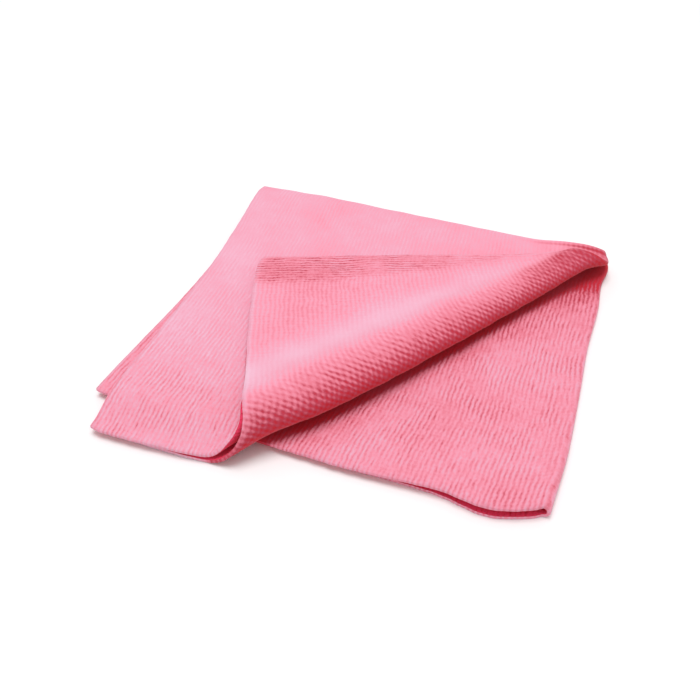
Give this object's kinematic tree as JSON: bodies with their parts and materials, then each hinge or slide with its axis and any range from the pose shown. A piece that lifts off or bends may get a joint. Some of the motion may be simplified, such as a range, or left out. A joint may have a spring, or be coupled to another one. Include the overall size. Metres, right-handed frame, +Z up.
{
  "type": "folded cleaning cloth",
  "caption": "Square ribbed cleaning cloth folded in quarter, lying flat, with one corner of the upper layers turned back over a soft diagonal roll.",
  "frame": {"origin": "middle of the outline in plan, on the surface the cloth lies on", "axes": "+X along the front edge to the right, towards the long closed fold; +Y to the back fold; +Z up, away from the surface"},
  "size_m": [0.2066, 0.2102, 0.0238],
  "materials": {
    "cloth": "matt pink ribbed knit with a fine pile"
  },
  "bodies": {
    "root": {"cloth": "cloth"}
  },
  "joints": []
}
